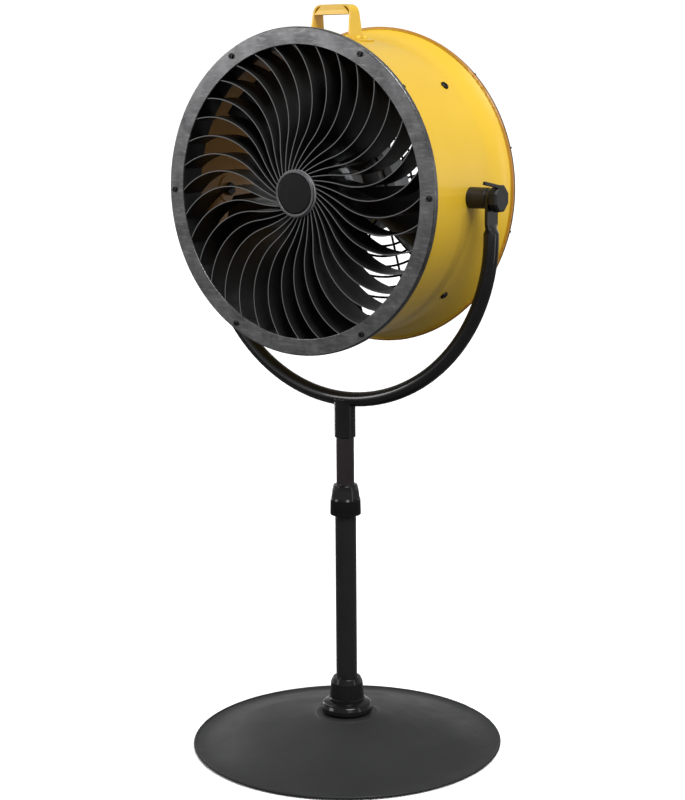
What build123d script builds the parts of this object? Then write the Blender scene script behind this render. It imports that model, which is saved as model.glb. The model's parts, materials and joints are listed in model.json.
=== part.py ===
"""Pedestal drum fan: round weighted base, telescopic column, yoke and a tilting drum head.

Millimetres.  Origin: centre of the base on the floor.  +Z is up and the fan blows towards -Y.
The drum tilts about an axis along X; "reach" sizes are measured from that axis along Y.
"""
from build123d import *
import os
from math import acos, cos, degrees, hypot, pi, radians, sin, sqrt

# ---------------------------------------------------------------- driving sizes
# Base
base_diameter = 475.0
base_rise = 48.0              # floor to the flat seat at the top of the dome
base_sheet = 1.6
base_bead_radius = 2.4        # rolled edge of the dome
foot_height = 2.5
foot_diameter = 26.0
foot_count = 5
bottom_plate_sheet = 1.5
weight_diameter = 300.0
weight_thickness = 14.0
seat_margin = 4.0             # flat seat narrower than the collar by this much, in radius

# Column
outer_tube_diameter = 32.0
outer_tube_wall = 1.5
outer_tube_length = 330.0
inner_tube_diameter = 27.0
inner_tube_wall = 1.5
column_shown = 72.0           # bare inner tube between lock nut and yoke socket
lower_travel = 70.0           # how far the inner tube can go down from there
lower_clearance = 34.0        # foot plug and air below the inner tube when it is right down
lock_nut_height = 47.0
lock_nut_wall = 4.0
collar_height = 57.0
collar_flange = 24.0          # collar beyond the outer tube, in radius

# Yoke
side_gap = 33.0               # drum wall to the middle of the yoke arm
yoke_tube_diameter = 22.0
yoke_tube_wall = 1.5
socket_wall = 2.4
socket_drop = 59.0            # socket lip to the centre line of the yoke tube
arm_rise = 56.0               # centre of the yoke's half circle to the tilt axis
pivot_drop = 5.5              # tilt axis below the drum's own axis
arm_width = 29.0
arm_thickness = 4.5

# Drum
drum_diameter = 436.0
drum_sheet = 1.2
front_reach = 117.6
rear_reach = 94.2
front_flange_width = 11.5
flare_height = 14.6
flare_length = 42.0
rim_bead_radius = 2.7
handle_width = 65.0
handle_strap = 32.0           # at the feet
handle_strap_top = 21.0
handle_sheet = 2.5
handle_rise = 46.5
handle_reach = -15.0
handle_skirt = 14.0

# Front ring and grille
ring_overhang = 14.0          # front ring outside the drum wall, in radius
ring_cover = 10.5             # and inside it
ring_sheet = 2.0
ring_lip = 8.0
ring_screw_offset = 4.5       # screw circle outside the drum wall, in radius
ring_screw_count = 6
ring_screw_diameter = 4.0
grille_flange = 2.4
grille_depth = 48.0
vane_count = 36
vane_thickness = 1.2
hub_radius = 34.0

# Tilt pivot
pivot_bolt_diameter = 10.0
spacer_diameter = 30.0
washer_thickness = 1.2
knob_diameter = 40.0
knob_depth = 14.0
knob_neck = 3.5
knob_lever_reach = 46.0
knob_lever_width = 6.0
knob_lever_thickness = 4.5
knob_lever_lean = 10.0        # degrees above level, towards the front

# Motor and fan
shaft_diameter = 12.0
motor_diameter = 132.0
motor_front = 6.0             # reach of the motor's front face
motor_length = 72.0
motor_wall = 3.0
air_gap = 0.6
bearing_diameter = 32.0
bearing_width = 10.0
fan_tip_gap = 12.8            # blade tip to the inside of the drum
fan_hub_diameter = 92.0
fan_reach = -27.0             # middle of the blades
blade_count = 5
blade_thickness = 2.0
bracket_angle = 43.0          # motor arms, up and down from level on both sides
bracket_reach = 23.0
bracket_bar = 3.0
bracket_width = 20.0

# Rear guard, switch housing
guard_wire = 3.6
guard_ring_count = 12
guard_spoke_count = 12
guard_inner_radius = 44.0
housing_diameter = 78.0
housing_depth = 40.0
speed_knob_diameter = 34.0
speed_knob_depth = 17.0
gland_diameter = 16.0
cord_bore_diameter = 8.4

# Clearances
running = 0.05                # radial, between a shaft and its bore
loose = 0.15                  # radial, a screw in its hole
face_gap = 0.15               # between faces that turn on each other
turning_gap = 0.5             # between round parts that turn or slide without touching

# ---------------------------------------------------------------- places worked out from them
base_radius = base_diameter / 2
outer_r = outer_tube_diameter / 2
outer_bore = outer_r - outer_tube_wall
inner_r = inner_tube_diameter / 2
inner_bore = inner_r - inner_tube_wall
tube_top = base_rise + outer_tube_length
lock_nut_bottom = tube_top - 16.0
lock_nut_top = lock_nut_bottom + lock_nut_height
socket_bottom = lock_nut_top + column_shown
yoke_bottom = socket_bottom + socket_drop
drum_radius = drum_diameter / 2
drum_bore = drum_radius - drum_sheet
yoke_radius = drum_radius + side_gap
ring_outer_radius = drum_radius + ring_overhang
ring_inner_radius = drum_radius - ring_cover
ring_screw_circle = drum_radius + ring_screw_offset
fan_radius = drum_bore - fan_tip_gap
yoke_centre = yoke_bottom + yoke_radius
pivot_height = yoke_centre + arm_rise
drum_height = pivot_height + pivot_drop
arm_inner = yoke_radius - arm_thickness / 2
arm_outer = yoke_radius + arm_thickness / 2
front_face = -front_reach
flange_back = front_face + ring_sheet + grille_flange + drum_sheet
rim_radius = drum_radius + flare_height
hub_front = front_face - 1.5
motor_rear = motor_front + motor_length
motor_radius = motor_diameter / 2
shaft_r = shaft_diameter / 2
guard_reach = rear_reach + guard_wire / 2
housing_front = motor_rear + 3.0
housing_rear = housing_front + housing_depth
bolt_r = pivot_bolt_diameter / 2

LOW = (Align.CENTER, Align.CENTER, Align.MIN)
head_axis = Axis((0, 0, drum_height), (0, 1, 0))
head = Pos(0, 0, drum_height)


# ---------------------------------------------------------------- helpers
def outline(points, rounds=()):
    """Flat face through (across, up) points; rounds holds (corner number, radius) pairs."""
    face = make_face(Polyline(*points, close=True)).face()
    for corner, radius in rounds:
        spot = Vector(*points[corner])
        vertex = min(face.vertices(), key=lambda v: (Vector(v.X, v.Y, v.Z) - spot).length)
        face = face.fillet_2d(radius, [vertex])
    return face


def turned(points, rounds=()):
    """Solid of revolution about Z from (radius, height) points."""
    return revolve(Plane.XZ * outline(points, rounds), axis=Axis.Z)


def head_turned(points, rounds=()):
    """Solid of revolution about the drum's own axis from (radius, reach) points."""
    return revolve(head * outline(points, rounds), axis=head_axis)


def pipe(outer, inner, low, high):
    """Upright tube, or a bar when inner is 0."""
    body = Pos(0, 0, low) * Cylinder(outer, high - low, align=LOW)
    if inner:
        body -= Pos(0, 0, low) * Cylinder(inner, high - low, align=LOW)
    return body


def along_y(radius, near, far, x=0.0, z=0.0, bore=0.0):
    """Round bar or tube along Y on the head, with x and z measured from the drum's axis."""
    body = Pos(x, near, drum_height + z) * Rot(-90, 0, 0) * Cylinder(radius, far - near, align=LOW)
    if bore:
        body -= along_y(bore, near, far, x, z)
    return body


def along_x(radius, near, far, bore=0.0, y=0.0, z=0.0):
    """Round bar or tube along X, with y and z measured from the middle of the head."""
    body = Pos(near, y, drum_height + z) * Rot(0, 90, 0) * Cylinder(radius, far - near, align=LOW)
    if bore:
        body -= along_x(bore, near, far, 0, y, z)
    return body


def on_tilt(radius, near, far, bore=0.0):
    """Round bar or tube along X on the tilt axis."""
    return along_x(radius, near, far, bore, z=-pivot_drop)


def on_drum(shape, angle):
    """Turn a shape about the drum's axis, from +X towards +Z."""
    return shape.rotate(head_axis, -angle)


def hexagon(across, height):
    return extrude(RegularPolygon(across / 2, 6, major_radius=False), height)


def both_sides(shape):
    return [shape, mirror(shape, Plane.YZ)]


def group(shapes):
    """Separate solids kept together in one node."""
    solids = [solid for shape in shapes for solid in shape.solids()]
    return Compound(children=solids)


def save(name, shape):
    os.makedirs("parts", exist_ok=True)
    if isinstance(shape, (list, tuple)):
        shape = group(shape)
    shape.label = name
    export_step(shape, f"parts/{name}.step")


os.makedirs("parts", exist_ok=True)


# ---------------------------------------------------------------- base
collar_r = outer_r + collar_flange
seat_r = collar_r - seat_margin


def base_profile(offset):
    """Top line of the dome, as (radius, height) points, lowered by offset."""
    edge = base_radius - base_bead_radius
    bead_top = foot_height + 2 * base_bead_radius
    dome = base_rise - bead_top
    return [
        (edge, bead_top - offset - base_bead_radius + base_sheet / 2),
        (edge - 13, bead_top - 1.2 - offset),
        (edge - 26, bead_top + 1.2 - offset),
        (edge - 62, bead_top + 0.29 * dome - offset),
        (edge - 130, bead_top + 0.66 * dome - offset),
        (seat_r + 12, base_rise - 1.0 - offset),
        (seat_r, base_rise - offset),
    ]


bolt_hole = 5.0 + loose
plug_height = lower_clearance - 4.0


def make_base_cover():
    top = base_profile(0)
    bottom = base_profile(base_sheet)
    upper = Spline(*top, tangents=((-1, 0.02), (-1, 0.0)))
    lower = Spline(*bottom, tangents=((-1, 0.02), (-1, 0.0)))
    upper_end, lower_end = top[-1], bottom[-1]
    profile = make_face([
        upper, Line(upper_end, (bolt_hole, base_rise)),
        Line((bolt_hole, base_rise), (bolt_hole, base_rise - base_sheet)),
        Line((bolt_hole, base_rise - base_sheet), lower_end), lower,
        Line(bottom[0], top[0]),
    ])
    sheet = revolve(Plane.XZ * profile, axis=Axis.Z)
    bead = Pos(0, 0, foot_height + base_bead_radius) * Torus(
        base_radius - base_bead_radius, base_bead_radius)
    return sheet + bead


save("base_cover", make_base_cover())

plate_top = foot_height + bottom_plate_sheet
weight_bottom = plate_top
weight_r = weight_diameter / 2
boss_r = seat_r - 5.0
head_recess = 12.0
weight = turned([
    (0, weight_bottom), (weight_r, weight_bottom), (weight_r, weight_bottom + weight_thickness * 0.6),
    (weight_r - 30, weight_bottom + weight_thickness), (boss_r + 6, weight_bottom + weight_thickness),
    (boss_r, base_rise - base_sheet), (0, base_rise - base_sheet),
])
weight -= pipe(bolt_hole, 0, weight_bottom, base_rise)
weight -= pipe(14.0, 0, weight_bottom, weight_bottom + head_recess)
plate_screw_circle = weight_r * 0.6
plate_screw_spots = [(plate_screw_circle * cos(radians(a)), plate_screw_circle * sin(radians(a)))
                     for a in (45, 135, 225, 315)]
for x, y in plate_screw_spots:
    weight -= Pos(x, y, weight_bottom) * Cylinder(2.0, 10.5, align=LOW)
save("base_weight", weight)

plate_radius = base_radius - 2 * base_bead_radius - 1.0
bottom_plate = pipe(plate_radius, 0, foot_height, plate_top)
for x, y in plate_screw_spots:
    bottom_plate -= Pos(x, y, 0) * Cylinder(2.0 + loose, plate_top, align=LOW)
save("base_bottom_plate", bottom_plate)

feet = []
foot_circle = base_radius - 22.0
for number in range(foot_count):
    angle = radians(90 + 360 / foot_count * number)
    foot = Cone(foot_diameter / 2 - 1.5, foot_diameter / 2, foot_height, align=LOW)
    feet.append(Pos(foot_circle * cos(angle), foot_circle * sin(angle), 0) * foot)
save("base_feet", feet)

plate_screws = []
for x, y in plate_screw_spots:
    shank = Pos(x, y, plate_top - bottom_plate_sheet) * Cylinder(2.0, bottom_plate_sheet + 10, align=LOW)
    cap = Pos(x, y, foot_height - 1.6) * Cone(2.6, 3.8, 1.6, align=LOW)
    plate_screws.append(shank + cap)
save("base_plate_screws", plate_screws)

bolt_seat = weight_bottom + head_recess
washer_z = bolt_seat - 2.0
save("base_bolt_washer", pipe(11.0, bolt_hole, washer_z, bolt_seat))
base_bolt = Pos(0, 0, washer_z - 6.4) * hexagon(17.0, 6.4)
base_bolt += pipe(5.0, 0, washer_z, base_rise + plug_height - 8.0)
save("base_bolt", base_bolt)

# ---------------------------------------------------------------- column, fixed part
foot_plug = pipe(outer_bore, 5.0, base_rise, base_rise + plug_height)
save("column_foot_plug", foot_plug)
save("column_outer_tube", pipe(outer_r, outer_bore, base_rise, tube_top))

collar_wall = 3.0
collar_outer = [
    (collar_r - 5, base_rise), (collar_r, base_rise + 5), (collar_r, base_rise + 11),
    (collar_r - 3, base_rise + 17), (outer_r + 12, base_rise + 20), (outer_r + 12, base_rise + 24),
    (outer_r + 10.4, base_rise + 25), (outer_r + 9.4, base_rise + 38), (outer_r + 8.4, base_rise + 49),
    (outer_r + 5.0, base_rise + collar_height),
]
collar = turned(
    [(outer_r, base_rise)] + collar_outer + [(outer_r, base_rise + collar_height)],
    rounds=((2, 2.5), (3, 2.5), (4, 5.0), (9, 3.0), (10, 2.0)))
save("base_collar", collar)

sleeve_r = outer_r + 3.0
sleeve_neck = outer_r
sleeve_low = lock_nut_bottom + 1.0
sleeve_top = tube_top + 10.0
sleeve = turned([
    (outer_r, sleeve_low), (sleeve_r, sleeve_low), (sleeve_r, tube_top + 6),
    (sleeve_neck, tube_top + 8), (sleeve_neck, sleeve_top), (inner_r + running, sleeve_top),
    (inner_r + running, tube_top), (outer_r, tube_top),
])
save("column_sleeve", sleeve)

collet_top = sleeve_top + 12.0
collet = turned([
    (inner_r + running, sleeve_top), (sleeve_neck, sleeve_top), (inner_r + 1.4, collet_top),
    (inner_r + running, collet_top),
])
collet -= Pos(0, 0, sleeve_top) * Box(60, 1.6, 2 * (collet_top - sleeve_top),
                                      align=(Align.MIN, Align.CENTER, Align.CENTER))
save("split_collet", collet)

# ---------------------------------------------------------------- lock nut
nut_r = sleeve_r + turning_gap + lock_nut_wall
nut_shoulder = lock_nut_bottom + lock_nut_height * 0.5
nut = turned([
    (sleeve_r + turning_gap, lock_nut_bottom), (nut_r, lock_nut_bottom), (nut_r - 0.6, nut_shoulder),
    (nut_r - 2.0, nut_shoulder + 3), (nut_r - 3.6, lock_nut_top - 8), (inner_r + 4.5, lock_nut_top),
    (inner_r + turning_gap, lock_nut_top), (inner_r + turning_gap, collet_top + 1.0),
    (inner_r + 1.8 + turning_gap, collet_top + 1.0), (sleeve_neck + turning_gap, sleeve_top),
    (sleeve_neck + turning_gap, tube_top + 8.6), (sleeve_r + turning_gap, tube_top + 6.6),
], rounds=((1, 1.5), (4, 4.0), (5, 2.5)))
rib_count = 24
rib_groove = Cylinder(1.4, lock_nut_height * 0.40, align=LOW)
grooves = [Rot(0, 0, 360 / rib_count * number) * Pos(nut_r + 0.5, 0, lock_nut_bottom + 4) * rib_groove
           for number in range(rib_count)]
nut -= grooves
save("height_lock_nut", nut)

# ---------------------------------------------------------------- column, sliding part
inner_low = base_rise + lower_clearance + lower_travel
inner_high = yoke_bottom - yoke_tube_diameter / 2 - 3.0
cap_flange = 2.0
save("column_inner_tube", pipe(inner_r, inner_bore, inner_low, inner_high - cap_flange))
bush_height = 25.0
save("column_lower_bush", pipe(outer_bore - running, inner_r, inner_low, inner_low + bush_height))
top_plug = pipe(inner_bore, 0, inner_high - 22, inner_high - cap_flange)
top_plug += pipe(inner_r - 0.3, 0, inner_high - cap_flange, inner_high)
save("column_top_plug", top_plug)

# ---------------------------------------------------------------- yoke
yoke_tube_r = yoke_tube_diameter / 2
socket_r = inner_r + running + socket_wall
straight = 7.0                # upright run of round tube above the half circle
press_length = 13.0           # from round tube to flat arm


def yoke_bend(radius):
    """Bar of the given radius along the yoke's half circle and its short upright ends."""
    section = Pos(yoke_radius, 0, yoke_centre) * Circle(radius)
    half_turn = revolve(section, axis=Axis((0, 0, yoke_centre), (0, 1, 0)), revolution_arc=180)
    upright = Pos(yoke_radius, 0, yoke_centre) * Cylinder(radius, straight, align=LOW)
    return half_turn + both_sides(upright)


def flat_arm():
    """Pressed flat end of the tube, with a round end and the pivot hole."""
    low = yoke_centre + straight
    flat = Pos(yoke_radius, 0, low + press_length) * Box(
        arm_thickness, arm_width, pivot_height - low - press_length, align=LOW)
    flat += on_tilt(arm_width / 2, arm_inner, arm_outer)
    round_end = Pos(yoke_radius, 0, low) * Circle(yoke_tube_r)
    flat_end = Pos(yoke_radius, 0, low + press_length) * Rectangle(arm_thickness, arm_width)
    arm = flat + loft([round_end, flat_end])
    return arm - on_tilt(bolt_r + running, arm_inner - 1, arm_outer + 1)


yoke = yoke_bend(yoke_tube_r) - yoke_bend(yoke_tube_r - yoke_tube_wall) + both_sides(flat_arm())
save("yoke_tube", yoke)

socket = pipe(socket_r, inner_r + running, socket_bottom, yoke_bottom)
socket = chamfer(socket.edges().filter_by(GeomType.CIRCLE).group_by(Axis.Z)[0].sort_by(
    SortBy.RADIUS)[-1], 1.5)
socket -= yoke_bend(yoke_tube_r)
clamp_height = socket_bottom + 16.0
clamp_r = 3.0
to_back = Rot(0, 0, 90)
clamp_hole = Pos(0, 0, clamp_height) * Rot(0, 90, 0) * Cylinder(clamp_r, socket_r + 5, align=LOW)
socket -= to_back * clamp_hole
save("yoke_socket", socket)

clamp_in = inner_r + face_gap
clamp_screw = Pos(clamp_in, 0, clamp_height) * Rot(0, 90, 0) * Cylinder(
    clamp_r, socket_r + 1.0 - clamp_in, align=LOW)
clamp_head = Pos(socket_r, 0, clamp_height) * Rot(0, 90, 0) * Cylinder(5.0, 3.0, align=LOW)
clamp_screw += clamp_head
clamp_screw -= Pos(socket_r + 3.0, 0, clamp_height) * Box(2.4, 20, 1.2)
save("swivel_clamp_screw", to_back * clamp_screw)

# ---------------------------------------------------------------- drum shell
flare_start = rear_reach - rim_bead_radius - flare_length
bead_circle = rim_radius
bead_reach = rear_reach - rim_bead_radius
flange_r = drum_radius + front_flange_width


def flare_arc(radius_in, grow):
    """Arc from the straight wall out to the rolled rim, tangent to the wall."""
    arc_r = (flare_height ** 2 + flare_length ** 2) / (2 * flare_height)
    centre = (drum_radius + arc_r, flare_start)
    turn = acos((arc_r - flare_height) / arc_r)
    r = arc_r + grow

    def at(share):
        return (centre[0] - r * cos(turn * share), centre[1] + r * sin(turn * share))
    return at(0), at(0.5), at(1)


def make_drum_shell():
    o0, o1, o2 = flare_arc(drum_radius, 0)
    i0, i1, i2 = flare_arc(drum_bore, drum_sheet)
    f0 = flange_back - drum_sheet
    profile = make_face([
        Line((drum_bore, f0), (flange_r, f0)), Line((flange_r, f0), (flange_r, flange_back)),
        Line((flange_r, flange_back), (drum_radius, flange_back)), Line((drum_radius, flange_back), o0),
        ThreePointArc(o0, o1, o2), Line(o2, i2), ThreePointArc(i2, i1, i0), Line(i0, (drum_bore, f0)),
    ])
    sheet = revolve(head * profile, axis=head_axis)
    bead = Pos(0, bead_reach, drum_height) * Rot(90, 0, 0) * Torus(bead_circle, rim_bead_radius)
    return sheet + bead


bracket_angles = (bracket_angle, 180 - bracket_angle, 180 + bracket_angle, 360 - bracket_angle)
ring_angles = [360 / ring_screw_count * number for number in range(ring_screw_count)]
bracket_screw_r = 3.0
handle_half = handle_width / 2
handle_foot_length = 20.0
foot_middle = degrees((handle_half + handle_foot_length * 0.55) / drum_radius)
handle_rivet_angles = (90 - foot_middle, 90 + foot_middle)
handle_rivet_spots = [(a, handle_reach + s) for a in handle_rivet_angles for s in (-8.0, 8.0)]
handle_rivet_r = 2.4
band_rivet_reach = front_face + 35.0
band_rivet_r = 1.6


def radial_hole(radius, angle, reach):
    """Cutter or pin through the drum wall at an angle and reach."""
    return on_drum(along_x(radius, drum_radius - 12, drum_radius + 8, y=reach), angle)


drum = make_drum_shell()
drum -= [radial_hole(bracket_screw_r + loose, a, bracket_reach) for a in bracket_angles]
drum -= [radial_hole(handle_rivet_r, a, s) for a, s in handle_rivet_spots]
drum -= [radial_hole(band_rivet_r, a, band_rivet_reach) for a in bracket_angles]
drum -= both_sides(on_tilt(bolt_r + loose, drum_radius - 10, drum_radius + 10))
drum -= [on_drum(along_y(ring_screw_diameter / 2 + loose, flange_back - 3, flange_back + 1,
                         x=ring_screw_circle), a) for a in ring_angles]
save("drum_shell", drum)

band_rivets = []
for angle in bracket_angles:
    cap = along_x(band_rivet_r * 1.9, drum_radius - 1.0, drum_radius + 1.0, y=band_rivet_reach)
    cap -= along_y(drum_radius, front_face, rear_reach)
    pin = along_x(band_rivet_r, drum_bore - 0.4, drum_radius + 0.5, y=band_rivet_reach)
    band_rivets.append(on_drum(cap + pin, angle))
save("drum_rivets", band_rivets)

# ---------------------------------------------------------------- carrying handle
handle_top = drum_radius + handle_rise
leg_foot = drum_radius + handle_sheet


def strap_outline(width_top, width_foot, top, corner):
    low = drum_radius - 8
    return outline([(-width_foot / 2, low), (-width_top / 2, top), (width_top / 2, top),
                    (width_foot / 2, low)], rounds=((1, corner), (2, corner)))


def make_handle():
    width_foot = handle_width + 6
    sheets = 2 * handle_sheet
    outer = strap_outline(handle_width, width_foot, handle_top, 13.0)
    inner = strap_outline(handle_width - sheets, width_foot - sheets, handle_top - handle_sheet, 10.5)
    skirt_low, skirt_high = handle_top - handle_skirt, handle_top - 1.2
    skirt_half = handle_half - handle_sheet + 0.5
    skirt = outline([(-skirt_half, skirt_low), (-skirt_half + 12, skirt_high), (skirt_half - 12, skirt_high),
                     (skirt_half, skirt_low)])
    hoop = head * Pos(0, handle_reach, 0) * extrude(Plane.XZ * (outer - inner), handle_strap, both=True)
    apron = head * Pos(0, handle_reach, 0) * extrude(Plane.XZ * skirt, handle_strap, both=True)
    full, hollow = handle_taper(0), handle_taper(2.0)
    strap = (hoop & full) + ((apron & full) - hollow)
    foot_turn = degrees((handle_half + 3 + handle_foot_length) / drum_radius)
    foot_start = degrees((handle_half + 1.5) / drum_radius)
    near, far = handle_reach - handle_strap / 2, handle_reach + handle_strap / 2
    band = along_y(leg_foot, near, far, bore=drum_radius)
    for turn in (90 - foot_turn, 90 + foot_start):
        strap += band & on_drum(wedge(foot_turn - foot_start), turn)
    strap -= along_y(drum_radius, handle_reach - handle_strap, handle_reach + handle_strap)
    for angle, reach in handle_rivet_spots:
        strap -= radial_hole(handle_rivet_r, angle, reach)
    return strap


def handle_taper(inset):
    """Block that narrows the handle's strap from its feet to its top."""
    foot, top = handle_strap / 2 - inset, handle_strap_top / 2 - inset
    low, high = drum_radius - 10, handle_top + 2
    side = make_face(Polyline((-foot, low), (-foot, drum_radius + 4), (-top, handle_top - 8), (-top, high),
                              (top, high), (top, handle_top - 8), (foot, drum_radius + 4), (foot, low),
                              close=True))
    return head * Pos(0, handle_reach, 0) * extrude(Plane.YZ * side, handle_width, both=True)


def wedge(turn):
    """Wedge about the drum's axis from +X through the given angle towards +Z."""
    far = drum_radius * 1.3
    points = [(0, 0), (far, 0), (far * cos(radians(turn)), far * sin(radians(turn)))]
    face = Plane.XZ * make_face(Polyline(*points, close=True))
    return head * extrude(face, front_reach, both=True)


save("carry_handle", make_handle())

handle_rivets = []
for angle, reach in handle_rivet_spots:
    pin = along_x(handle_rivet_r, drum_bore - 1.5, leg_foot + 0.3, y=reach)
    dome = Pos(leg_foot, reach, drum_height) * Sphere(4.6) & Pos(
        leg_foot, reach, drum_height) * Box(2.4, 12, 12, align=(Align.MIN, Align.CENTER, Align.CENTER))
    handle_rivets.append(on_drum(pin + dome, angle))
save("handle_rivets", handle_rivets)

# ---------------------------------------------------------------- front ring and grille
ring = head_turned([
    (ring_inner_radius, front_face), (ring_outer_radius, front_face),
    (ring_outer_radius, front_face + ring_lip), (ring_outer_radius - ring_sheet, front_face + ring_lip),
    (ring_outer_radius - ring_sheet, front_face + ring_sheet), (ring_inner_radius, front_face + ring_sheet),
], rounds=((1, 1.8), (0, 0.8)))
ring -= [on_drum(along_y(ring_screw_diameter / 2 + loose, front_face - 1, front_face + 3,
                         x=ring_screw_circle), a) for a in ring_angles]
save("front_ring", ring)

grille_face = front_face + ring_sheet
grille_back = grille_face + grille_depth
rim_outer = drum_bore - 0.8
rim_wall = 3.0
vane_tip_radius = rim_outer - rim_wall / 2


def vane_outline():
    """One vane seen from the front: a large arc to the rim and a tangent arc in to the hub."""
    arc_r, arc_distance, arc_bearing = 106.0, 154.5, radians(29.9)
    centre = Vector(arc_distance * cos(arc_bearing), arc_distance * sin(arc_bearing))

    def on_arc(radius):
        swing = acos((radius ** 2 + arc_distance ** 2 - arc_r ** 2) / (2 * radius * arc_distance))
        turn = arc_bearing - swing
        return Vector(radius * cos(turn), radius * sin(turn))
    tip, middle, join = on_arc(vane_tip_radius), on_arc(143.0), on_arc(80.0)
    outer_arc = ThreePointArc(tip, middle, join)
    root = Vector((hub_radius - 2) * cos(radians(17.0)), (hub_radius - 2) * sin(radians(17.0)))
    inner_arc = TangentArc(join, root, tangent=outer_arc % 1)
    return trace(outer_arc + inner_arc, vane_thickness)


vane = head * extrude(Plane.XZ * vane_outline(), -grille_depth)
vane = Pos(0, grille_face - vane.bounding_box().min.Y, 0) * vane
grille = along_y(rim_outer, grille_face, grille_back, bore=rim_outer - rim_wall)
grille += along_y(flange_r, grille_face, grille_face + grille_flange, bore=rim_outer - rim_wall)
grille += along_y(hub_radius, hub_front, grille_back, bore=hub_radius - 2.5)
grille += along_y(hub_radius - 2, hub_front + 4.0, hub_front + 7.0)
grille += [on_drum(vane, 360 / vane_count * number) for number in range(vane_count)]
grille -= [on_drum(along_y(ring_screw_diameter / 2 + loose, grille_face - 1, grille_face + 4,
                           x=ring_screw_circle), a) for a in ring_angles]
save("front_grille", grille)

trim_inner = hub_radius - 5.0
trim = head_turned([
    (trim_inner, hub_front + 3.5), (trim_inner, hub_front - 2.0), (hub_radius - 0.5, hub_front - 2.0),
    (hub_radius - 0.5, hub_front), (hub_radius - 2.8, hub_front), (hub_radius - 2.8, hub_front + 3.5),
], rounds=((1, 0.8), (2, 1.2)))
save("grille_hub_ring", trim)
save("grille_hub_cap", head_turned([
    (0, hub_front + 3.5), (trim_inner - 0.2, hub_front + 3.5), (trim_inner - 0.2, hub_front - 1.4),
    (trim_inner - 2.0, hub_front - 2.2), (0, hub_front - 2.2)]))

ring_screws, ring_nuts = [], []
nut_depth = 3.2
for angle in ring_angles:
    screw = along_y(ring_screw_diameter / 2, front_face - 1.0, flange_back + nut_depth + 1.5,
                    x=ring_screw_circle)
    cap = along_y(3.9, front_face - 3.2, front_face, x=ring_screw_circle)
    cap = fillet(cap.edges().group_by(Axis.Y)[0], 0.8)
    socket_cut = Pos(ring_screw_circle, front_face - 1.3, drum_height) * Rot(90, 0, 0) * hexagon(2.6, 4)
    ring_screws.append(on_drum(screw + cap - socket_cut, angle))
    ring_nut = Pos(ring_screw_circle, flange_back + nut_depth, drum_height) * Rot(90, 0, 0) * Rot(
        0, 0, 30) * hexagon(7.0, nut_depth)
    ring_nut -= along_y(ring_screw_diameter / 2, flange_back - 1, flange_back + 6, x=ring_screw_circle)
    ring_nuts.append(on_drum(ring_nut, angle))
save("ring_screws", ring_screws)
save("ring_nuts", ring_nuts)

# ---------------------------------------------------------------- tilt pivots
spacer_end = arm_inner - washer_thickness - face_gap
backing_sheet = 2.0
backing_half = 21.0
spacer = on_tilt(spacer_diameter / 2, drum_radius - 6, spacer_end, bore=bolt_r + loose)
spacer -= along_y(drum_radius, -spacer_diameter, spacer_diameter)
spacer = fillet(spacer.edges().filter_by(GeomType.CIRCLE).group_by(Axis.X)[-1].sort_by(
    SortBy.RADIUS)[-1], 1.0)
save("pivot_spacers", both_sides(spacer))

spacer_washer = on_tilt(spacer_diameter / 2 - 2, spacer_end, arm_inner - face_gap, bore=bolt_r + loose)
knob_washer = on_tilt(12.0, arm_outer + face_gap, arm_outer + face_gap + washer_thickness,
                      bore=bolt_r + loose)
save("pivot_washers", both_sides(spacer_washer) + both_sides(knob_washer))

backing = on_tilt(backing_half, drum_radius - 24, drum_radius + 5, bore=bolt_r + loose)
backing &= along_y(drum_bore, -backing_half, backing_half, bore=drum_bore - backing_sheet)
backing = Part(backing.solids().filter_by(lambda s: s.center().X > 0)[0].wrapped)
save("pivot_backing_plates", both_sides(backing))

backing_face = sqrt((drum_bore - backing_sheet) ** 2 - (pivot_drop + 10.0) ** 2)
knob_face = arm_outer + face_gap + washer_thickness + face_gap
knob_bore_end = knob_face + knob_depth - 6.0
pivot_bolt = on_tilt(bolt_r, backing_face, knob_bore_end - 2.0)
pivot_head = Pos(backing_face - 6.0, 0, pivot_height) * Rot(0, 90, 0) * hexagon(17.0, 6.0)
pivot_bolt += pivot_head
save("pivot_bolts", both_sides(pivot_bolt))

knob_r = knob_diameter / 2
insert_r = bolt_r + 2.5


def make_knob():
    """Clamping knob on the right side: an eight-sided head with a thin lever along its top."""
    neck = on_tilt(knob_r - 4, knob_face, knob_face + knob_neck)
    grip = Pos(knob_face + knob_neck, 0, pivot_height) * Rot(0, 90, 0) * extrude(
        RegularPolygon(knob_r, 8, rotation=22.5), knob_depth - knob_neck)
    grip = chamfer(grip.edges().group_by(Axis.X)[-1], 2.5)
    lever = Box(knob_lever_width, knob_lever_reach, knob_lever_thickness,
                align=(Align.MIN, Align.MAX, Align.MAX))
    lever = fillet(lever.edges().filter_by(Axis.Z).group_by(Axis.Y)[0], knob_lever_width * 0.4)
    lever = fillet(lever.edges().group_by(Axis.Z)[-1], 1.2)
    lever_face = knob_face + knob_depth - knob_lever_width
    lever = Pos(lever_face, 0, pivot_height + knob_r - 2) * Rot(-knob_lever_lean, 0, 0) * lever
    return neck + grip + lever - on_tilt(insert_r, knob_face - 1, knob_bore_end)


knob = make_knob()
insert = on_tilt(insert_r, knob_face, knob_bore_end, bore=bolt_r + running)
save("tilt_knob_right", knob)
save("tilt_knob_left", mirror(knob, Plane.YZ))
save("knob_insert_right", insert)
save("knob_insert_left", mirror(insert, Plane.YZ))

# ---------------------------------------------------------------- motor
split = motor_front + motor_length / 2
bearing_seat_r = bearing_diameter / 2
end_wall = 4.0
boss_depth = bearing_width + 2.0


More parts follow.
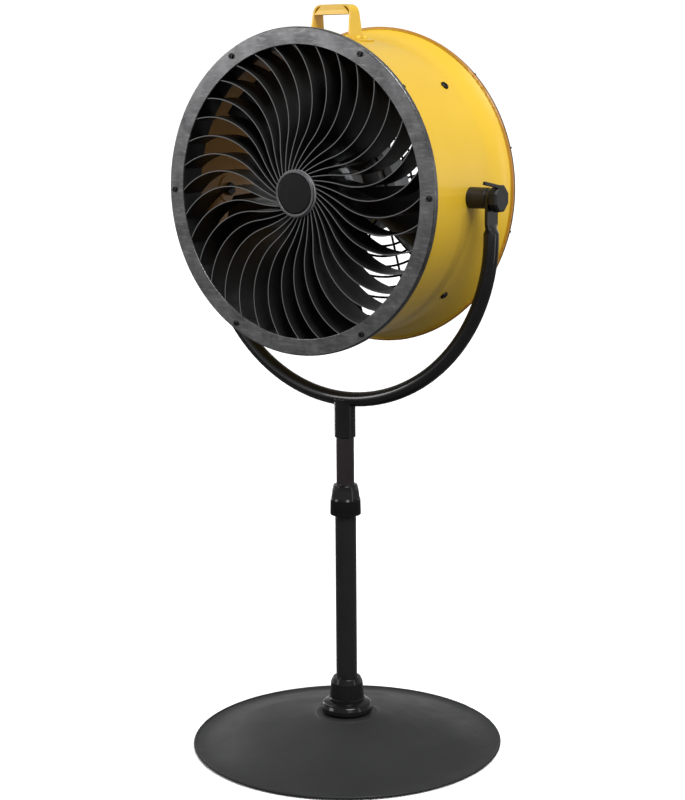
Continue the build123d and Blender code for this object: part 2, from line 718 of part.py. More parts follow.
def motor_shell(front, back, seat_side):
    """Half of the motor's casing; seat_side is 1 where the bearing boss faces +Y inside."""
    shell = along_y(motor_radius, min(front, back), max(front, back))
    inner_near = front + seat_side * end_wall
    hollow = along_y(motor_radius - motor_wall, min(inner_near, back), max(inner_near, back))
    boss_end = inner_near + seat_side * boss_depth
    boss = along_y(bearing_seat_r + 4, min(inner_near, boss_end), max(inner_near, boss_end))
    shell -= hollow
    shell += boss
    seat_start = front + seat_side * (end_wall - 1.0)
    seat_stop = boss_end + seat_side
    shell -= along_y(bearing_seat_r, min(seat_start, seat_stop), max(seat_start, seat_stop))
    return shell - along_y(shaft_r + turning_gap, min(front, back) - 1, max(front, back) + 1)


tie_circle = motor_radius - motor_wall - 4.2
tie_r = 2.0
tie_angles = (0, 90, 180, 270)
tie_holes = [on_drum(along_y(tie_r + loose, motor_front - 5, motor_rear + 5, x=tie_circle), a)
             for a in tie_angles]
front_shell = motor_shell(motor_front, split, 1)
front_shell = fillet(front_shell.edges().filter_by(GeomType.CIRCLE).group_by(Axis.Y)[0].sort_by(
    SortBy.RADIUS)[-1], 3.5)
rear_shell = motor_shell(motor_rear, split, -1)
rear_shell = fillet(rear_shell.edges().filter_by(GeomType.CIRCLE).group_by(Axis.Y)[-1].sort_by(
    SortBy.RADIUS)[-1], 3.5)
save("motor_front_shell", front_shell - tie_holes)
save("motor_rear_shell", rear_shell - tie_holes)

ties = []
for angle in tie_angles:
    tie = along_y(tie_r, motor_front - 2, motor_rear + 2, x=tie_circle)
    tie += along_y(3.6, motor_front - 3.0, motor_front, x=tie_circle)
    tie += along_y(3.6, motor_rear, motor_rear + 2.6, x=tie_circle)
    ties.append(on_drum(tie, angle))
save("motor_tie_bolts", ties)

stator_outer = tie_circle - tie_r - 0.8
stator_bore = stator_outer * 0.66
stack_half = 16.0
slot_count = 12
stator = along_y(stator_outer, split - stack_half, split + stack_half, bore=stator_bore)
slot_r = (stator_outer - stator_bore) * 0.24
slot_circle = stator_bore + slot_r * 1.7
stator -= [on_drum(along_y(slot_r, split - stack_half - 1, split + stack_half + 1, x=slot_circle),
                   360 / slot_count * n) for n in range(slot_count)]
save("stator_core", stator)
winding_depth = 7.0
windings = []
for near in (split - stack_half - winding_depth, split + stack_half):
    coil = along_y(slot_circle + slot_r + 1.5, near, near + winding_depth, bore=stator_bore + 0.8)
    windings.append(coil)
save("stator_windings", windings)

bearing_starts = (motor_front + end_wall - 1.0, motor_rear - end_wall + 1.0 - bearing_width)
bearings = []
for near in bearing_starts:
    race = along_y(bearing_seat_r, near, near + bearing_width, bore=shaft_r + running)
    for face_y in (near, near + bearing_width - 0.8):
        race -= along_y(bearing_seat_r - 3.0, face_y, face_y + 0.8, bore=shaft_r + 3.0)
    bearings.append(race)
save("motor_bearings", bearings)

# ---------------------------------------------------------------- motor bracket
bar_start = motor_radius + 0.5
tab_half = degrees(16.0 / drum_bore)
tab_sheet = 3.0
bracket = along_y(motor_radius + bracket_bar, bracket_reach - bracket_width / 2,
                  bracket_reach + bracket_width / 2, bore=motor_radius)
for angle in bracket_angles:
    bar = Pos(bar_start, bracket_reach, drum_height) * Box(
        drum_bore - tab_sheet / 2 - bar_start, bracket_width, bracket_bar,
        align=(Align.MIN, Align.CENTER, Align.MIN))
    bar = Pos(0, 0, bracket_screw_r + 3.5) * bar
    tab = along_y(drum_bore, bracket_reach - bracket_width / 2, bracket_reach + bracket_width / 2,
                  bore=drum_bore - tab_sheet) & on_drum(wedge(2 * tab_half), -tab_half)
    arm = bar + tab
    arm -= along_x(bracket_screw_r + loose, drum_bore - 12, drum_bore + 3, y=bracket_reach)
    bracket += on_drum(arm, angle)
save("motor_bracket", bracket)

bracket_screws = []
screw_nut_half = 6.0
screw_nut_face = sqrt((drum_bore - tab_sheet) ** 2 - screw_nut_half ** 2)
for angle in bracket_angles:
    screw = along_x(bracket_screw_r, screw_nut_face - 6.5, drum_radius + 1.0, y=bracket_reach)
    cap = along_x(6.2, drum_radius, drum_radius + 3.0, y=bracket_reach)
    cap = fillet(cap.edges().group_by(Axis.X)[-1], 1.8)
    cap -= Pos(drum_radius + 3.0, bracket_reach, drum_height) * Box(2.4, 1.4, 7.0)
    cap -= Pos(drum_radius + 3.0, bracket_reach, drum_height) * Box(2.4, 7.0, 1.4)
    screw_nut = Pos(screw_nut_face - 5.2, bracket_reach, drum_height) * Rot(0, 90, 0) * Rot(
        0, 0, 30) * hexagon(10.0, 5.2)
    screw_nut -= along_x(bracket_screw_r, screw_nut_face - 10, screw_nut_face + 2, y=bracket_reach)
    bracket_screws += [on_drum(screw + cap, angle), on_drum(screw_nut, angle)]
save("motor_bracket_screws", bracket_screws)

# ---------------------------------------------------------------- fan and rotor
shaft_front = fan_reach - 26.0
shaft_rear = motor_rear - end_wall - 1.0 + 4.0
save("motor_shaft", along_y(shaft_r, shaft_front, shaft_rear))
rotor_r = stator_bore - air_gap
rotor = along_y(rotor_r, split - stack_half, split + stack_half, bore=shaft_r)
for face_y in (split - stack_half - 4.0, split + stack_half):
    rotor += along_y(rotor_r - 1.0, face_y, face_y + 4.0, bore=rotor_r - 9.0)
save("rotor_core", rotor)

fan_hub_r = fan_hub_diameter / 2
fan_hub_back = fan_reach + 14.0
fan_hub_front = fan_reach - 14.0
fan_hub = head_turned([
    (shaft_r + 1.0, fan_hub_back), (fan_hub_r, fan_hub_back), (fan_hub_r, fan_hub_front + 6),
    (fan_hub_r - 8, fan_hub_front), (shaft_r + 1.0, fan_hub_front)], rounds=((2, 5.0),))
fan_hub -= along_y(fan_hub_r - 5, fan_reach - 6, fan_hub_back + 1, bore=shaft_r + 9)
fan_hub -= along_y(shaft_r + 1.1, fan_hub_front - 1, fan_hub_back + 1)
save("fan_hub", fan_hub)
save("fan_hub_bush", along_y(shaft_r + 1.1, fan_hub_front, fan_hub_back, bore=shaft_r))
nut_front = fan_hub_front - 6.0
fan_nut = Pos(0, fan_hub_front - 1.2, drum_height) * Rot(90, 0, 0) * hexagon(19.0, 6.0)
fan_nut -= along_y(shaft_r, fan_hub_front - 9, fan_hub_front)
save("fan_nut", fan_nut)
save("fan_nut_washer", along_y(13.0, fan_hub_front - 1.2, fan_hub_front, bore=shaft_r))

blade_angles = [-14.0 + 360 / blade_count * number for number in range(blade_count)]


def blade_section(radius, chord, pitch, camber):
    """Curved strip across a blade, in the plane square to the radius."""
    half = chord / 2
    t = blade_thickness / 2
    top = ThreePointArc((-half, t), (0, camber + t), (half, t))
    bottom = ThreePointArc((half, -t), (0, camber - t), (-half, -t))
    face = make_face([top, Line((half, t), (half, -t)), bottom, Line((-half, -t), (-half, t))])
    frame_here = Plane(origin=(radius, fan_reach, drum_height), x_dir=(0, 0, 1), z_dir=(1, 0, 0))
    return frame_here * Rot(0, 0, pitch) * face


def make_blade():
    root = fan_hub_r - 3.0
    span = fan_radius + 6 - root
    sections = [(0.0, 44.0, 44.0, 5.0), (0.35, 84.0, 34.0, 8.0), (0.7, 118.0, 26.0, 10.0),
                (1.0, 136.0, 21.0, 10.0)]
    strips = [blade_section(root + span * share, chord, pitch, camber)
              for share, chord, pitch, camber in sections]
    blade = loft(strips)
    return blade & along_y(fan_radius, fan_reach - 60, fan_reach + 60)


blade = make_blade()
hub_space = along_y(fan_hub_r, fan_hub_front - 30, fan_hub_back + 30)
blade = blade - hub_space
fan_blades = [on_drum(blade, a) for a in blade_angles]
save("fan_blades", fan_blades)

# ---------------------------------------------------------------- rear guard
wire_r = guard_wire / 2
guard_step = (rim_radius - guard_inner_radius) / guard_ring_count
guard_radii = [guard_inner_radius + guard_step * number for number in range(guard_ring_count + 1)]
spoke_reach = guard_reach + guard_wire * 0.8
hoops = [Pos(0, guard_reach, drum_height) * Rot(90, 0, 0) * Torus(radius, wire_r)
         for radius in guard_radii]
spokes = []
for number in range(guard_spoke_count):
    spoke = along_x(wire_r, guard_inner_radius - 3, rim_radius + wire_r * 0.6, y=spoke_reach)
    spokes.append(on_drum(spoke, 360 / guard_spoke_count * (number + 0.5)))
guard = spokes[0] + hoops + spokes[1:]
save("rear_guard", guard)

clip_sheet = 1.2
clip_count = 6
clip_width = 12.0


def guard_clip():
    """Clip wrapped over the back of the guard's outer wire and onto the rolled rim."""
    outer, inner = (make_hull([Pos(bead_circle, reach) * edge for reach in (bead_reach, guard_reach)
                               for edge in Circle(radius).edges()])
                    for radius in (rim_bead_radius + clip_sheet, rim_bead_radius))
    behind = Pos(bead_circle - 0.6, bead_reach + 1.2) * Rectangle(30, 60, align=(Align.MAX, Align.MIN))
    face = (outer - inner) & behind
    return Pos(0, 0, drum_height) * extrude(face, clip_width / 2, both=True)


clip_angles = [360 / clip_count * number for number in range(clip_count)]
save("rear_guard_clips", [on_drum(guard_clip(), a) for a in clip_angles])

# ---------------------------------------------------------------- switch housing
housing_r = housing_diameter / 2
housing_wall = 2.5
knob_hole_r = 5.0
housing = along_y(housing_r, housing_front, housing_rear)
housing = fillet(housing.edges().group_by(Axis.Y)[-1], 4.0)
housing -= along_y(housing_r - housing_wall, housing_front, housing_rear - housing_wall)
housing -= along_y(knob_hole_r + turning_gap, housing_rear - 5, housing_rear + 1)
gland_r = gland_diameter / 2
gland_skirt = 2.2
gland_reach = spoke_reach + wire_r + gland_r + gland_skirt + 1.0
gland_spot = Pos(0, gland_reach, drum_height - housing_r)
housing -= gland_spot * Cylinder(gland_r, 20)
save("switch_housing", housing)

gland = Cylinder(gland_r, 9) + Pos(0, 0, -4.5) * Cone(
    gland_r + gland_skirt, gland_r - 1.0, 10, rotation=(180, 0, 0), align=LOW)
gland -= Cylinder(cord_bore_diameter / 2, 60)
save("cord_gland", gland_spot * gland)

dial_radius = housing_r - 8.0
dial_sheet = 0.8
save("dial_plate", along_y(dial_radius, housing_rear, housing_rear + dial_sheet,
                           bore=knob_hole_r + turning_gap))
switch_depth = 12.0
switch_back = housing_rear - housing_wall
switch_body = Pos(0, switch_back - switch_depth / 2, drum_height) * Box(28, switch_depth, 28)
stem_r = 3.0
switch_body -= along_y(stem_r + running, switch_back - switch_depth + 3, switch_back + 1)
save("rotary_switch", switch_body)
capacitor = Pos(0, switch_back - 8.0, drum_height + 24.5) * Box(30, 13, 13)
save("run_capacitor", fillet(capacitor.edges().filter_by(Axis.Y), 2.0))

speed_face = housing_rear + dial_sheet + face_gap * 2
speed_r = speed_knob_diameter / 2
speed_knob = along_y(speed_r, speed_face, speed_face + 4)
speed_knob += along_y(speed_r - 4, speed_face, speed_face + 7)
grip = Pos(0, speed_face + speed_knob_depth / 2, drum_height) * Box(
    7.0, speed_knob_depth, speed_knob_diameter - 3)
grip = fillet(grip.edges().group_by(Axis.Y)[-1], 1.5)
speed_knob += grip
speed_knob += along_y(stem_r, switch_back - switch_depth + 4, speed_face + 4)
save("speed_knob", speed_knob)
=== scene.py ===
"""Pedestal drum fan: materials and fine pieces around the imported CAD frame.  Metres, +Z up."""
import json
from math import cos, pi, radians, sin, tau

import bmesh
import bpy
from mathutils import Matrix, Vector


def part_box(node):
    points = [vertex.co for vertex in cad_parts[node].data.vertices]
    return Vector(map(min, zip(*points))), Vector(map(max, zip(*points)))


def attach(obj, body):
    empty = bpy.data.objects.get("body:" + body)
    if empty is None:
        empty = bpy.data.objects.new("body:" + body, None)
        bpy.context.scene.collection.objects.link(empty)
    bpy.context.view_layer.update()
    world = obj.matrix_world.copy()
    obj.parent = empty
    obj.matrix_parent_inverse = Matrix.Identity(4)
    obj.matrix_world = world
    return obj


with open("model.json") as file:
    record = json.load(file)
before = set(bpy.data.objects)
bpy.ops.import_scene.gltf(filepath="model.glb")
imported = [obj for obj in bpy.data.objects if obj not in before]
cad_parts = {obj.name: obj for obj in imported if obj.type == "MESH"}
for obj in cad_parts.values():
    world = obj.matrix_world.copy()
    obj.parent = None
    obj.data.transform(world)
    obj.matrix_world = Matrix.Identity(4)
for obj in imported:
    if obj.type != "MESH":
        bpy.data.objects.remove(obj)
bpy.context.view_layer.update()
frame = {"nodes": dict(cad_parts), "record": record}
nodes = frame["nodes"]

drum_low, drum_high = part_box("drum_shell")
DRUM_AXIS_Z = (drum_low.z + drum_high.z) / 2
DRUM_WALL_RADIUS = 0.218       # outer face of the drum's sheet
RIM_RADIUS = 0.2326            # where the rolled rear rim begins
RIM_DEPTH = 0.006              # of the rolled rim, forward from the drum's rear
GRILLE_EDGE_DEPTH = 0.0035     # of the painted highlight along the front edges, back from the grille's front
YOKE_TUBE_RADIUS = 0.011
YOKE_BEND_RADIUS = 0.251       # of the tube's centre line
MIX_A, MIX_B, MIX_RESULT = 6, 7, 2      # colour sockets of a Mix node


# ---------------------------------------------------------------- node helpers
def map_range(tree, value, low, high, to_low, to_high):
    node = tree.nodes.new("ShaderNodeMapRange")
    tree.links.new(value, node.inputs["Value"])
    for key, number in (("From Min", low), ("From Max", high), ("To Min", to_low), ("To Max", to_high)):
        node.inputs[key].default_value = number
    return node.outputs["Result"]


class Shader:
    """Small wrapper that builds one material's node tree."""

    def __init__(self, name):
        self.material = bpy.data.materials.new(name)
        self.material.use_nodes = True
        self.tree = self.material.node_tree
        self.bsdf = self.tree.nodes["Principled BSDF"]
        self.place = self.add("ShaderNodeTexCoord").outputs["Object"]

    def add(self, kind, **settings):
        node = self.tree.nodes.new(kind)
        for key, value in settings.items():
            setattr(node, key, value)
        return node

    def link(self, source, target):
        self.tree.links.new(source, target)

    def stretched(self, scale):
        node = self.add("ShaderNodeMapping")
        node.inputs["Scale"].default_value = scale
        self.link(self.place, node.inputs["Vector"])
        return node.outputs["Vector"]

    def noise(self, scale, detail=3.0, roughness=0.5, stretch=None, distortion=0.0):
        node = self.add("ShaderNodeTexNoise")
        node.inputs["Scale"].default_value = scale
        node.inputs["Detail"].default_value = detail
        node.inputs["Roughness"].default_value = roughness
        node.inputs["Distortion"].default_value = distortion
        self.link(self.stretched(stretch) if stretch else self.place, node.inputs["Vector"])
        return node.outputs["Fac"]

    def fade(self, value, start, end, most=1.0):
        """Nothing where value is at start, rising to most where it is at end."""
        return map_range(self.tree, value, start, end, 0.0, most)

    def mix(self, factor, first, second):
        node = self.add("ShaderNodeMix", data_type="RGBA")
        self.link(factor, node.inputs["Factor"])
        for socket, colour in ((node.inputs[MIX_A], first), (node.inputs[MIX_B], second)):
            if isinstance(colour, tuple):
                socket.default_value = (*colour, 1.0)
            else:
                self.link(colour, socket)
        return node.outputs[MIX_RESULT]

    def math(self, operation, first, second=None):
        node = self.add("ShaderNodeMath", operation=operation)
        for socket, value in zip(node.inputs, (first, second)):
            if value is None:
                continue
            if isinstance(value, (int, float)):
                socket.default_value = value
            else:
                self.link(value, socket)
        return node.outputs["Value"]

    def bump(self, height, strength, distance, under=None):
        node = self.add("ShaderNodeBump")
        node.inputs["Strength"].default_value = strength
        node.inputs["Distance"].default_value = distance
        self.link(height, node.inputs["Height"])
        if under is not None:
            self.link(under, node.inputs["Normal"])
        return node.outputs["Normal"]

    def axis(self, letter):
        node = self.add("ShaderNodeSeparateXYZ")
        self.link(self.place, node.inputs["Vector"])
        return node.outputs[letter]


def finish_surface(name, colour, shade, rough, metallic=0.0, coat=0.0, coat_rough=0.1, specular=0.5,
                   mottle=9.0, grain=700.0, grain_depth=0.00004, grain_strength=0.35, stretch=None):
    """Finish with cloudy colour, uneven roughness and a fine grain; returns the shader to add to."""
    shader = Shader(name)
    clouds = shader.noise(mottle, 4.0, 0.55)
    tint = shader.mix(shader.fade(clouds, 0.35, 0.68), colour, shade)
    shader.link(tint, shader.bsdf.inputs["Base Color"])
    smears = shader.noise(mottle * 3.1, 5.0, 0.6, distortion=0.4)
    shader.link(map_range(shader.tree, smears, 0.3, 0.7, *rough), shader.bsdf.inputs["Roughness"])
    fine = shader.noise(grain, 2.0, 0.5, stretch)
    shader.normal = shader.bump(fine, grain_strength, grain_depth)
    shader.link(shader.normal, shader.bsdf.inputs["Normal"])
    shader.bsdf.inputs["Metallic"].default_value = metallic
    shader.bsdf.inputs["Coat Weight"].default_value = coat
    shader.bsdf.inputs["Coat Roughness"].default_value = coat_rough
    shader.bsdf.inputs["Specular IOR Level"].default_value = specular
    shader.tint = tint
    return shader


# ---------------------------------------------------------------- materials
def paint_yellow():
    """Powder coat with orange peel, with painted shade: darker inside the drum and on its rolled rim."""
    shader = finish_surface("yellow_powder_coat", (0.560, 0.360, 0.026), (0.530, 0.330, 0.020),
                            (0.29, 0.39), coat=0.10, coat_rough=0.12, specular=0.36, mottle=5.0,
                            grain=900.0, grain_depth=0.00005, grain_strength=0.18)
    across = shader.axis("X")
    raised = shader.math("SUBTRACT", shader.axis("Z"), DRUM_AXIS_Z)
    squares = shader.math("ADD", shader.math("MULTIPLY", across, across),
                          shader.math("MULTIPLY", raised, raised))
    radius = shader.math("SQRT", squares)
    # Painted shade: the drum's inner face is coloured dark brown, standing in for the shade within the drum.
    inside = shader.fade(radius, DRUM_WALL_RADIUS - 0.0002, DRUM_WALL_RADIUS - 0.0008)
    tone = shader.mix(inside, shader.tint, (0.46, 0.215, 0.026))
    # Painted shade: the outer part of the rolled rear rim is coloured orange-brown, standing in for the dark
    # line where the rim curves away from the light.
    rim_start = drum_high.y - RIM_DEPTH
    rear = shader.fade(shader.axis("Y"), rim_start - 0.001, rim_start + 0.001)
    outer = shader.fade(radius, RIM_RADIUS - 0.0012, RIM_RADIUS + 0.0006)
    tone = shader.mix(shader.math("MULTIPLY", rear, outer), tone, (0.30, 0.130, 0.010))
    shader.link(tone, shader.bsdf.inputs["Base Color"])
    peel = shader.noise(260.0, 2.0, 0.5)
    shader.link(shader.bump(peel, 0.10, 0.00015, shader.normal), shader.bsdf.inputs["Normal"])
    return shader.material


def ring_grey():
    """Dark brushed metal: fine streaks round the ring and cloudy rubbed patches."""
    shader = finish_surface("ring_brushed_grey", (0.120, 0.120, 0.123), (0.062, 0.062, 0.064), (0.24, 0.40),
                            metallic=0.75, specular=0.5, mottle=38.0, grain=900.0, grain_depth=0.00008,
                            grain_strength=0.45)
    streaks = shader.noise(160.0, 4.0, 0.7, stretch=(0.25, 1.0, 1.6), distortion=0.6)
    scuffed = shader.mix(shader.fade(streaks, 0.52, 0.72, 0.55), shader.tint, (0.22, 0.22, 0.225))
    shader.link(scuffed, shader.bsdf.inputs["Base Color"])
    return shader.material


def black_steel():
    return finish_surface("black_powder_coat", (0.0055, 0.0055, 0.0060), (0.0085, 0.0085, 0.0090),
                          (0.20, 0.30), coat=0.30, coat_rough=0.07, specular=0.22, mottle=14.0,
                          grain=1100.0, grain_depth=0.00002, grain_strength=0.15).material


def base_charcoal():
    return finish_surface("base_charcoal_coat", (0.0150, 0.0152, 0.0155), (0.0195, 0.0197, 0.0200),
                          (0.42, 0.54), specular=0.11, mottle=6.0, grain=1300.0, grain_depth=0.00004,
                          grain_strength=0.35).material


def dark_chrome():
    return finish_surface("dark_chrome", (0.170, 0.145, 0.152), (0.140, 0.118, 0.125), (0.05, 0.10),
                          metallic=1.0, mottle=20.0, grain=500.0, grain_depth=0.00001,
                          grain_strength=0.10, stretch=(1.0, 1.0, 0.05)).material


def black_plastic():
    return finish_surface("black_moulded_plastic", (0.0070, 0.0066, 0.0072), (0.0110, 0.0104, 0.0110),
                          (0.30, 0.42), specular=0.30, mottle=25.0, grain=1500.0, grain_depth=0.00004,
                          grain_strength=0.35).material


def gloss_black():
    return finish_surface("gloss_black_plastic", (0.0040, 0.0040, 0.0043), (0.0060, 0.0060, 0.0064),
                          (0.14, 0.22), coat=0.10, coat_rough=0.05, specular=0.12, mottle=20.0, grain=400.0,
                          grain_depth=0.00002, grain_strength=0.10).material


def grille_plastic():
    shader = finish_surface("grille_plastic", (0.0060, 0.0060, 0.0060), (0.0090, 0.0090, 0.0090),
                            (0.32, 0.44), specular=0.30, mottle=20.0, grain=1400.0, grain_depth=0.00003,
                            grain_strength=0.3)
    edge_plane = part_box("front_grille")[0].y + GRILLE_EDGE_DEPTH
    # Painted highlight: the grille's front 3.5 mm is coloured light grey, standing in for the bright edges
    # that the light picks out.
    edge = shader.fade(shader.axis("Y"), edge_plane + 0.0003, edge_plane - 0.0003)
    edge_highlight_colour = shader.mix(edge, shader.tint, (0.17, 0.17, 0.175))
    shader.link(edge_highlight_colour, shader.bsdf.inputs["Base Color"])
    return shader.material


def plain_metal(name, colour, shade, rough, grain=600.0, depth=0.00003):
    return finish_surface(name, colour, shade, rough, metallic=1.0, mottle=30.0, grain=grain,
                          grain_depth=depth, grain_strength=0.3).material


def rubber():
    return finish_surface("foot_rubber", (0.012, 0.012, 0.012), (0.020, 0.019, 0.018), (0.62, 0.78),
                          mottle=40.0, grain=900.0, grain_depth=0.0001, grain_strength=0.6).material


def dial_paint():
    return finish_surface("dial_satin_white", (0.42, 0.42, 0.41), (0.38, 0.38, 0.37), (0.38, 0.50),
                          mottle=30.0, grain=900.0, grain_depth=0.00002).material


SLOT_MATERIALS = {
    "drum_paint": paint_yellow(),
    "ring_grey": ring_grey(),
    "black_steel": black_steel(),
    "base_charcoal": base_charcoal(),
    "dark_chrome": dark_chrome(),
    "black_plastic": black_plastic(),
    "gloss_black": gloss_black(),
    "grille_plastic": grille_plastic(),
    "trim_silver": plain_metal("trim_satin_silver", (0.10, 0.10, 0.105), (0.075, 0.075, 0.08),
                               (0.28, 0.40)),
    "zinc_steel": plain_metal("zinc_plated_steel", (0.55, 0.54, 0.50), (0.45, 0.45, 0.44), (0.28, 0.42)),
    "black_oxide": plain_metal("black_oxide_steel", (0.020, 0.020, 0.022), (0.032, 0.031, 0.030),
                               (0.30, 0.45)),
    "motor_cast": plain_metal("cast_aluminium", (0.36, 0.37, 0.38), (0.28, 0.29, 0.30), (0.42, 0.58),
                              grain=320.0, depth=0.00018),
    "iron": plain_metal("cast_iron_grey", (0.16, 0.16, 0.16), (0.10, 0.095, 0.09), (0.55, 0.70),
                        grain=260.0, depth=0.0003),
    "copper_wire": plain_metal("varnished_copper", (0.62, 0.28, 0.12), (0.50, 0.20, 0.08), (0.25, 0.38)),
    "brass_insert": plain_metal("brass", (0.62, 0.45, 0.17), (0.52, 0.37, 0.13), (0.25, 0.38)),
    "foot_rubber": rubber(),
    "blade_paint": finish_surface("blade_dark_paint", (0.010, 0.010, 0.011), (0.016, 0.016, 0.017),
                                  (0.30, 0.42), specular=0.3, mottle=12.0).material,
    "dial_white": dial_paint(),
}

for part in frame["record"]["subparts"]:
    mesh = nodes[part["node"]].data
    mesh.materials.clear()
    mesh.materials.append(SLOT_MATERIALS[part["material_slot"]])


# ---------------------------------------------------------------- fine pieces
def new_piece(name, mesh, slot_name, body):
    """Put a finished mesh on a body with its slot's material."""
    piece = bpy.data.objects.new(name, mesh)
    bpy.context.scene.collection.objects.link(piece)
    mesh.materials.clear()
    mesh.materials.append(SLOT_MATERIALS[slot_name])
    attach(piece, body)


def swept_bead(name, path, radius, sides=10):
    """Closed round bead along a loop of points; radius(n) gives its thickness at point n."""
    grid = bmesh.new()
    hoops = []
    for number, spot in enumerate(path):
        ahead = (path[(number + 1) % len(path)] - path[number - 1]).normalized()
        side = ahead.cross(Vector((0, 0, 1))).normalized()
        rise = side.cross(ahead)
        hoops.append([grid.verts.new(spot + (side * cos(tau * k / sides) + rise * sin(tau * k / sides))
                                     * radius(number)) for k in range(sides)])
    for number, hoop in enumerate(hoops):
        following = hoops[(number + 1) % len(hoops)]
        for k in range(sides):
            grid.faces.new((hoop[k], hoop[(k + 1) % sides], following[(k + 1) % sides], following[k]))
    bmesh.ops.recalc_face_normals(grid, faces=grid.faces)
    for face in grid.faces:
        face.smooth = True
    mesh = bpy.data.meshes.new(name)
    grid.to_mesh(mesh)
    grid.free()
    return mesh


WELD_POINTS = 240
WELD_RADIUS = 0.0013
WELD_RIPPLE = 0.0003
POINTS_PER_RIPPLE = 6


def make_socket_weld():
    """Rippled weld where the yoke's tube sits in its socket."""
    low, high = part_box("yoke_socket")
    socket_radius = (high.x - low.x) / 2
    path = []
    for number in range(WELD_POINTS):
        turn = tau * number / WELD_POINTS
        x, y = socket_radius * cos(turn), socket_radius * sin(turn)
        rise = YOKE_BEND_RADIUS - (YOKE_BEND_RADIUS ** 2 - x * x) ** 0.5
        drop = (YOKE_TUBE_RADIUS ** 2 - y * y) ** 0.5 if abs(y) < YOKE_TUBE_RADIUS else 0.0
        path.append(Vector((x, y, high.z + rise - drop)))
    mesh = swept_bead("socket_weld", path,
                      lambda number: WELD_RADIUS + WELD_RIPPLE * sin(tau * number / POINTS_PER_RIPPLE))
    new_piece("socket_weld", mesh, "black_steel", "yoke")


DIAL_SETTINGS = 4
DIAL_STEP = radians(45)
DIGIT_CIRCLE = 0.0245          # radius on which the numbers stand
DIGIT_SIZE = 0.0085
DIGIT_HEIGHT = 0.00015         # half of the raised thickness
DIGIT_LIFT = 0.0001            # middle of that thickness, above the dial's face


def make_dial_numbers():
    """Raised numbers 0 to 3 on the dial, read from behind the fan."""
    low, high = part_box("dial_plate")
    middle = (low + high) / 2
    upright = Matrix(((-1, 0, 0), (0, 0, 1), (0, 1, 0))).to_4x4()
    for number in range(DIAL_SETTINGS):
        curve = bpy.data.curves.new(f"dial_number_{number}", "FONT")
        curve.body = str(number)
        curve.align_x, curve.align_y = "CENTER", "CENTER"
        curve.size = DIGIT_SIZE
        curve.extrude = DIGIT_HEIGHT
        writing = bpy.data.objects.new("writing", curve)
        bpy.context.scene.collection.objects.link(writing)
        bpy.context.view_layer.update()
        mesh = bpy.data.meshes.new_from_object(writing.evaluated_get(bpy.context.evaluated_depsgraph_get()))
        bpy.data.objects.remove(writing)
        turn = DIAL_STEP * number
        spot = Vector((middle.x - DIGIT_CIRCLE * sin(turn), high.y + DIGIT_LIFT,
                       middle.z + DIGIT_CIRCLE * cos(turn)))
        mesh.transform(Matrix.Translation(spot) @ upright)
        new_piece(f"dial_number_{number}", mesh, "black_plastic", "head")


POINTER_HALF_WIDTH = 0.0008
POINTER_START, POINTER_END = 0.004, 0.0105      # from the knob's axis
POINTER_SUNK, POINTER_PROUD = 0.0004, 0.0002    # below and above the grip's top
POINTER_TAPER = 0.8                             # width of its face against its foot
END_STEPS = 8                                   # in each rounded end


def make_knob_pointer():
    """White line let into the top of the speed knob's grip."""
    low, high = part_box("speed_knob")
    middle = (low + high) / 2
    outline = []
    for start, centre in ((0.0, POINTER_END), (pi, POINTER_START)):
        for k in range(END_STEPS + 1):
            turn = start + pi * k / END_STEPS
            outline.append((POINTER_HALF_WIDTH * cos(turn), centre + POINTER_HALF_WIDTH * sin(turn)))
    grid = bmesh.new()
    back = [grid.verts.new((middle.x + x, high.y - POINTER_SUNK, middle.z + z)) for x, z in outline]
    front = [grid.verts.new((middle.x + x * POINTER_TAPER, high.y + POINTER_PROUD, middle.z + z))
             for x, z in outline]
    grid.faces.new(back)
    grid.faces.new(front)
    for k in range(len(outline)):
        following = (k + 1) % len(outline)
        grid.faces.new((back[k], back[following], front[following], front[k]))
    bmesh.ops.recalc_face_normals(grid, faces=grid.faces)
    mesh = bpy.data.meshes.new("knob_pointer")
    grid.to_mesh(mesh)
    grid.free()
    new_piece("knob_pointer", mesh, "dial_white", "speed_knob")


make_socket_weld()
make_dial_numbers()
make_knob_pointer()


# ---------------------------------------------------------------- floor, lights, camera
FLOOR_SIZE = 80.0


def make_floor():
    """Pale floor, kept out of reflections and bounced light so that the underneath of the fan stays dark."""
    mesh = bpy.data.meshes.new("floor")
    half = FLOOR_SIZE / 2
    mesh.from_pydata([(-half, -half, 0), (half, -half, 0), (half, half, 0), (-half, half, 0)], [],
                     [(0, 1, 2, 3)])
    floor = bpy.data.objects.new("floor", mesh)
    bpy.context.scene.collection.objects.link(floor)
    shader = finish_surface("floor_pale", (0.90, 0.90, 0.90), (0.89, 0.89, 0.89), (0.60, 0.70), specular=0.2,
                            mottle=2.0, grain=60.0, grain_depth=0.0001, grain_strength=0.05)
    mesh.materials.append(shader.material)
    floor.visible_diffuse = floor.visible_glossy = False


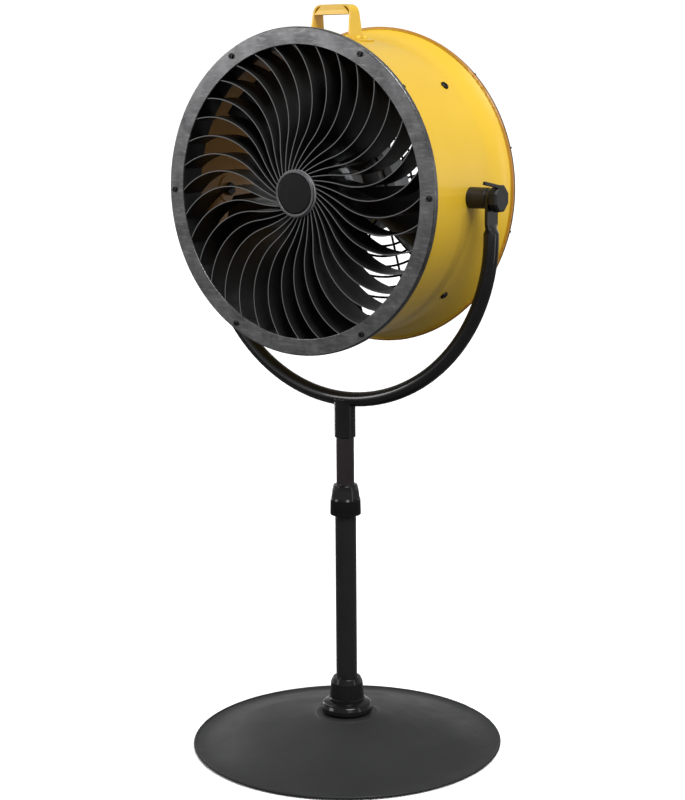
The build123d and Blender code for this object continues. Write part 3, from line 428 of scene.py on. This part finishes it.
def make_world():
    """White round the horizon, dimmer overhead and underneath, so that upright black faces stay dark."""
    world = bpy.data.worlds.new("studio")
    world.use_nodes = True
    tree = world.node_tree
    direction = tree.nodes.new("ShaderNodeTexCoord").outputs["Generated"]
    parts = tree.nodes.new("ShaderNodeSeparateXYZ")
    tree.links.new(direction, parts.inputs["Vector"])
    overhead = map_range(tree, parts.outputs["Z"], 0.06, 0.30, 1.08, 0.45)
    underneath = map_range(tree, parts.outputs["Z"], -0.13, -0.02, 0.14, 1.0)
    both = tree.nodes.new("ShaderNodeMath")
    both.operation = "MULTIPLY"
    tree.links.new(overhead, both.inputs[0])
    tree.links.new(underneath, both.inputs[1])
    background = tree.nodes["Background"]
    background.inputs["Color"].default_value = (1.0, 1.0, 1.0, 1.0)
    tree.links.new(both.outputs["Value"], background.inputs["Strength"])
    bpy.context.scene.world = world


def aim(lamp, place, target):
    lamp.location = place
    lamp.rotation_euler = (Vector(target) - Vector(place)).to_track_quat("-Z", "Y").to_euler()
    bpy.context.scene.collection.objects.link(lamp)


def area_light(name, place, target, size, power):
    light = bpy.data.lights.new(name, "AREA")
    light.shape = "RECTANGLE"
    light.size, light.size_y = size
    light.energy = power
    aim(bpy.data.objects.new(name, light), place, target)


def sun_light(name, place, strength, spread):
    light = bpy.data.lights.new(name, "SUN")
    light.energy = strength
    light.angle = radians(spread)
    aim(bpy.data.objects.new(name, light), place, (0.0, 0.0, 0.0))


def make_lights():
    middle = (0.0, 0.0, 0.7)
    sun_light("key_high", (1.3, -0.9, 1.9), 4.4, 32.0)
    strip = (0.25, 1.8)
    area_light("panel_left", (-2.4, -2.5, 1.75), (0.0, -0.1, 0.9), (1.3, 0.9), 42.0)
    area_light("strip_left", (-1.5, 0.6, 1.0), middle, strip, 7.0)
    area_light("strip_right", (2.3, 0.2, 1.0), middle, strip, 7.0)


CAMERA_AZIMUTH = 34.89         # degrees round from the front towards +X
CAMERA_PITCH = 10.1            # degrees down
CAMERA_ROLL = -0.42
CAMERA_DISTANCE = 2.6193       # on the floor, from the column
CAMERA_HEIGHT = 1.0124
SENSOR = 36.0                  # mm, along the image's height
LENS = 79.8291                 # mm
# Tangents by which the image's middle lies left of and below the direction that the angles above give.
AIM_LEFT, AIM_DOWN = 0.00126833, 0.00299891


def make_camera():
    turn, pitch, roll = radians(CAMERA_AZIMUTH), radians(CAMERA_PITCH), radians(CAMERA_ROLL)
    place = Vector((CAMERA_DISTANCE * sin(turn), -CAMERA_DISTANCE * cos(turn), CAMERA_HEIGHT))
    ahead = Vector((-sin(turn) * cos(pitch), cos(turn) * cos(pitch), -sin(pitch)))
    level = Vector((cos(turn), sin(turn), 0.0))
    upward = level.cross(ahead)
    right = level * cos(roll) + upward * sin(roll)
    up = upward * cos(roll) - level * sin(roll)
    ahead = (ahead - right * AIM_LEFT - up * AIM_DOWN).normalized()
    right = (right - ahead * right.dot(ahead)).normalized()
    up = right.cross(ahead)
    camera = bpy.data.cameras.new("camera")
    camera.sensor_width = SENSOR
    camera.lens = LENS
    camera.clip_end = 50.0
    body = bpy.data.objects.new("camera", camera)
    body.matrix_world = Matrix((
        (right.x, up.x, -ahead.x, place.x), (right.y, up.y, -ahead.y, place.y),
        (right.z, up.z, -ahead.z, place.z), (0, 0, 0, 1)))
    bpy.context.scene.collection.objects.link(body)
    bpy.context.scene.camera = body


make_floor()
make_world()
make_lights()
make_camera()
bpy.context.scene.view_settings.view_transform = "Standard"
